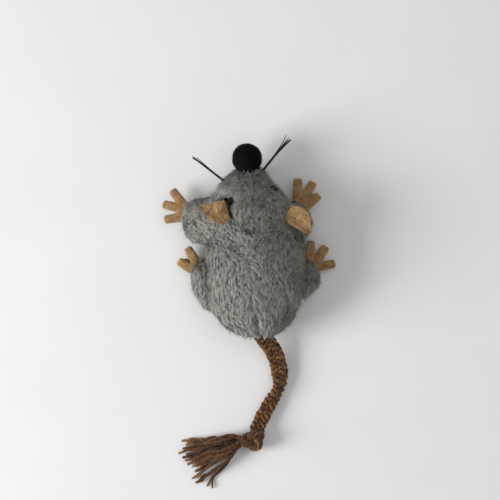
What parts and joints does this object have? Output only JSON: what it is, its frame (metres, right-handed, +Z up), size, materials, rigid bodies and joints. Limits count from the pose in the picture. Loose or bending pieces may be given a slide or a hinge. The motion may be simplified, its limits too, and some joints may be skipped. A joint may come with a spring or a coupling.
{
  "type": "cat_toy_mouse",
  "caption": "Stuffed grey plush cat toy mouse with suede ears and paws, black nose, bead eyes, whiskers and a plaited rope tail with knot and tassel",
  "frame": {"origin": "centre of the flat under the belly, on the surface that the toy lies on", "axes": "+Z up through the back, +Y from the belly towards the nose, +X to the toy's right"},
  "size_m": [0.0779, 0.1562, 0.0303],
  "materials": {
    "grey_plush": "rough",
    "fibre_filling": "rough",
    "pouch_cloth": "rough",
    "black_velvet": "rough",
    "bead_gloss": "gloss",
    "whisker_thread": "satin",
    "tan_suede": "matte",
    "brown_cord": "rough"
  },
  "bodies": {
    "torso": {"torso_back_cover": "grey_plush", "torso_belly_panel": "grey_plush", "torso_filling": "fibre_filling", "catnip_pouch": "pouch_cloth"},
    "head": {"head_cover": "grey_plush", "head_filling": "fibre_filling", "nose": "black_velvet", "eye_left": "bead_gloss", "eye_right": "bead_gloss", "whiskers_left": "whisker_thread", "whiskers_right": "whisker_thread"},
    "left_ear": {"ear_left": "tan_suede"},
    "right_ear": {"ear_right": "tan_suede"},
    "left_arm": {"arm_left_cover": "grey_plush", "arm_left_filling": "fibre_filling", "paw_front_left": "tan_suede"},
    "right_arm": {"arm_right_cover": "grey_plush", "arm_right_filling": "fibre_filling", "paw_front_right": "tan_suede"},
    "left_leg": {"leg_left_cover": "grey_plush", "leg_left_filling": "fibre_filling", "paw_rear_left": "tan_suede"},
    "right_leg": {"leg_right_cover": "grey_plush", "leg_right_filling": "fibre_filling", "paw_rear_right": "tan_suede"},
    "tail": {"tail_anchor": "brown_cord", "tail_rope": "brown_cord", "tail_knot": "brown_cord"},
    "tail_tassel": {"tassel": "brown_cord"}
  },
  "joints": [
    {"name": "head_nod", "type": "hinge", "parent": "torso", "child": "head", "pos_m": [0, 0.013, 0.015], "axis": [1, 0, 0], "range_deg": [0, 12]},
    {"name": "ear_left_fold", "type": "hinge", "parent": "head", "child": "left_ear", "pos_m": [-0.01303, 0.03055, 0.02483], "axis": [0.1478, 0.989, 0], "range_deg": [-15, 40]},
    {"name": "ear_right_fold", "type": "hinge", "parent": "head", "child": "right_ear", "pos_m": [0.01335, 0.02878, 0.0222], "axis": [-0.5948, -0.8039, 0], "range_deg": [-12, 36]},
    {"name": "arm_left_swing", "type": "hinge", "parent": "torso", "child": "left_arm", "pos_m": [-0.01751, 0.02441, 0.0084], "axis": [0, 0, 1], "range_deg": [-12, 15]},
    {"name": "arm_right_swing", "type": "hinge", "parent": "torso", "child": "right_arm", "pos_m": [0.01461, 0.01941, 0.00791], "axis": [0, 0, -1], "range_deg": [0, 25]},
    {"name": "leg_left_swing", "type": "hinge", "parent": "torso", "child": "left_leg", "pos_m": [-0.01921, -0.00821, 0.00719], "axis": [0, 0, 1], "range_deg": [0, 30]},
    {"name": "leg_right_swing", "type": "hinge", "parent": "torso", "child": "right_leg", "pos_m": [0.0186, -0.00439, 0.00701], "axis": [0, 0, -1], "range_deg": [0, 30]},
    {"name": "tail_swing", "type": "hinge", "parent": "torso", "child": "tail", "pos_m": [0.0023, -0.0238, 0.008], "axis": [0, 0, 1], "range_deg": [-45, 10]},
    {"name": "tassel_swing", "type": "hinge", "parent": "tail", "child": "tail_tassel", "pos_m": [-0.0016, -0.0711, 0.0049], "axis": [0, 0, 1], "range_deg": [-30, 30]}
  ]
}
